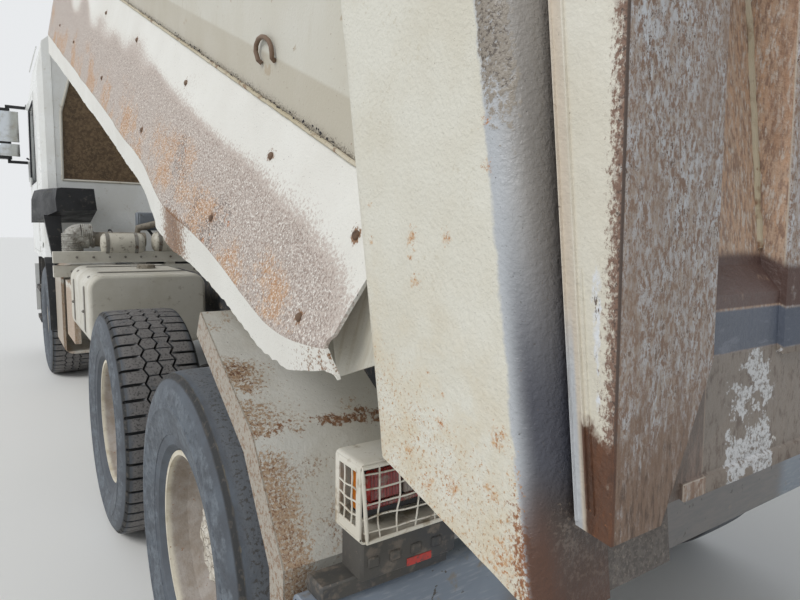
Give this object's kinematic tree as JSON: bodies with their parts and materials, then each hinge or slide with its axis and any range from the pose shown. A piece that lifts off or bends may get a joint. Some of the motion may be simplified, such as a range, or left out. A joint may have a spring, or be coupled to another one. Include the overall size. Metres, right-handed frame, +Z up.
{
  "type": "three-axle dump truck",
  "caption": "Three-axle dump truck with a raised steel rock body, raked top-hung tailgate and wide single tyres.",
  "frame": {"origin": "on the ground under the middle of the lorry's outer box", "axes": "+Z up, -Y towards the front of the lorry, +X to its left side"},
  "size_m": [3.26, 7.9465, 4.48],
  "materials": {
    "body_paint": "worn ivory paint with rust",
    "cab_paint": "dusty white paint",
    "chassis_paint": "dirty dark grey paint",
    "bar_paint": "dark blue-grey paint",
    "tank_paint": "dusty beige paint",
    "guard_steel": "white paint with rust specks",
    "rim_paint": "dusty cream paint",
    "cast_metal": "oily cast metal",
    "hard_chrome": "dull polished rod",
    "rubber_tread": "dusty rubber",
    "black_plastic": "black moulded",
    "lagging": "dull wrapped sheet",
    "window_glass": "dusty",
    "red_lens": "moulded lens",
    "clear_lens": "moulded lens",
    "seat_cloth": "woven",
    "dash_plastic": "grained"
  },
  "bodies": {
    "chassis": {"chassis_frame": "chassis_paint", "engine_block": "cast_metal", "propshafts": "cast_metal", "front_axle": "cast_metal", "drive_axles": "cast_metal", "leaf_springs": "cast_metal", "fuel_tank": "tank_paint", "battery_box": "chassis_paint", "cross_beam": "tank_paint", "exhaust": "lagging", "air_filter_housing": "black_plastic", "side_covers": "guard_steel", "front_bumper": "cab_paint", "head_lamps": "clear_lens", "cab_steps": "chassis_paint", "front_mudguards": "black_plastic", "rear_mudguards": "guard_steel", "underrun_bar": "bar_paint", "lamp_guards": "guard_steel", "tail_lamps": "red_lens"},
    "bed": {"bed_shell": "body_paint", "bed_skirts": "body_paint"},
    "tailgate": {"tailgate": "body_paint"},
    "cab": {"cab_shell": "cab_paint", "cab_glass": "window_glass", "seats": "seat_cloth", "dashboard": "dash_plastic"},
    "door_left": {"door_left": "cab_paint", "door_glass_left": "window_glass"},
    "door_right": {"door_right": "cab_paint", "door_glass_right": "window_glass"},
    "knuckle_left": {"knuckle_left": "cast_metal"},
    "knuckle_right": {"knuckle_right": "cast_metal"},
    "track_rod": {"tie_rod": "cast_metal"},
    "hoist_barrel": {"hoist_barrel": "chassis_paint"},
    "hoist_stage_1": {"hoist_stage_1": "hard_chrome"},
    "hoist_stage_2": {"hoist_stage_2": "hard_chrome"},
    "hoist_stage_3": {"hoist_stage_3": "hard_chrome"},
    "hoist_stage_4": {"hoist_stage_4": "hard_chrome"},
    "wheel_front_left": {"rim_front_left": "rim_paint", "tyre_front_left": "rubber_tread"},
    "wheel_front_right": {"rim_front_right": "rim_paint", "tyre_front_right": "rubber_tread"},
    "wheel_mid_left": {"rim_mid_left": "rim_paint", "tyre_mid_left": "rubber_tread"},
    "wheel_mid_right": {"rim_mid_right": "rim_paint", "tyre_mid_right": "rubber_tread"},
    "wheel_rear_left": {"rim_rear_left": "rim_paint", "tyre_rear_left": "rubber_tread"},
    "wheel_rear_right": {"rim_rear_right": "rim_paint", "tyre_rear_right": "rubber_tread"}
  },
  "joints": [
    {"name": "bed_hinge", "type": "hinge", "parent": "chassis", "child": "bed", "pos_m": [0, 3.247, 1.06], "axis": [-1, 0, 0], "range_deg": [-22.5, 25.5]},
    {"name": "tailgate_hinge", "type": "hinge", "parent": "bed", "child": "tailgate", "pos_m": [0, 3.72321, 2.75693], "axis": [1, 0, 0], "range_deg": [0, 60]},
    {"name": "cab_tilt", "type": "hinge", "parent": "chassis", "child": "cab", "pos_m": [0, -3.843, 1.01], "axis": [1, 0, 0], "range_deg": [0, 55]},
    {"name": "door_left", "type": "hinge", "parent": "cab", "child": "door_left", "pos_m": [1.242, -3.659, 1.5], "axis": [0, 0, -1], "range_deg": [0, 65]},
    {"name": "door_right", "type": "hinge", "parent": "cab", "child": "door_right", "pos_m": [-1.242, -3.659, 1.5], "axis": [0, 0, 1], "range_deg": [0, 65]},
    {"name": "steer_left", "type": "hinge", "parent": "chassis", "child": "knuckle_left", "pos_m": [0.86, -2.573, 0.54], "axis": [0, 0, 1], "range_deg": [-30, 30]},
    {"name": "steer_right", "type": "hinge", "parent": "chassis", "child": "knuckle_right", "pos_m": [-0.86, -2.573, 0.54], "axis": [0, 0, 1], "range_deg": [-30.2, 30.2]},
    {"name": "track_rod_slide", "type": "slide", "parent": "chassis", "child": "track_rod", "axis": [1, 0, 0], "range_m": [-0.114, 0.114]},
    {"name": "hoist_pivot", "type": "hinge", "parent": "chassis", "child": "hoist_barrel", "pos_m": [0, 0.497, 0.96], "axis": [-1, 0, 0], "range_deg": [-12, 13.5]},
    {"name": "hoist_slide_1", "type": "slide", "parent": "hoist_barrel", "child": "hoist_stage_1", "axis": [0, 0.1966, 0.9805], "range_m": [-0.261, 0.2955]},
    {"name": "hoist_slide_2", "type": "slide", "parent": "hoist_stage_1", "child": "hoist_stage_2", "axis": [0, 0.1966, 0.9805], "range_m": [-0.261, 0.2955]},
    {"name": "hoist_slide_3", "type": "slide", "parent": "hoist_stage_2", "child": "hoist_stage_3", "axis": [0, 0.1966, 0.9805], "range_m": [-0.261, 0.2955]},
    {"name": "hoist_slide_4", "type": "slide", "parent": "hoist_stage_3", "child": "hoist_stage_4", "axis": [0, 0.1966, 0.9805], "range_m": [-0.261, 0.2955]},
    {"name": "wheel_front_left", "type": "hinge", "parent": "knuckle_left", "child": "wheel_front_left", "pos_m": [1.047, -2.573, 0.54], "axis": [1, 0, 0], "continuous": true},
    {"name": "wheel_front_right", "type": "hinge", "parent": "knuckle_right", "child": "wheel_front_right", "pos_m": [-1.047, -2.573, 0.54], "axis": [1, 0, 0], "continuous": true},
    {"name": "wheel_mid_left", "type": "hinge", "parent": "chassis", "child": "wheel_mid_left", "pos_m": [1.047, 1.127, 0.54], "axis": [1, 0, 0], "continuous": true},
    {"name": "wheel_mid_right", "type": "hinge", "parent": "chassis", "child": "wheel_mid_right", "pos_m": [-1.047, 1.127, 0.54], "axis": [1, 0, 0], "continuous": true},
    {"name": "wheel_rear_left", "type": "hinge", "parent": "chassis", "child": "wheel_rear_left", "pos_m": [1.047, 2.557, 0.54], "axis": [1, 0, 0], "continuous": true},
    {"name": "wheel_rear_right", "type": "hinge", "parent": "chassis", "child": "wheel_rear_right", "pos_m": [-1.047, 2.557, 0.54], "axis": [1, 0, 0], "continuous": true}
  ],
  "couplings": [
    {"joint": "steer_right", "follows": "steer_left", "ratio": 1},
    {"joint": "track_rod_slide", "follows": "steer_left", "m_per_rad": -0.2053},
    {"joint": "hoist_pivot", "follows": "bed_hinge", "ratio": 0.512},
    {"joint": "hoist_slide_1", "follows": "bed_hinge", "m_per_rad": 0.66208},
    {"joint": "hoist_slide_2", "follows": "bed_hinge", "m_per_rad": 0.66208},
    {"joint": "hoist_slide_3", "follows": "bed_hinge", "m_per_rad": 0.66208},
    {"joint": "hoist_slide_4", "follows": "bed_hinge", "m_per_rad": 0.66208}
  ]
}
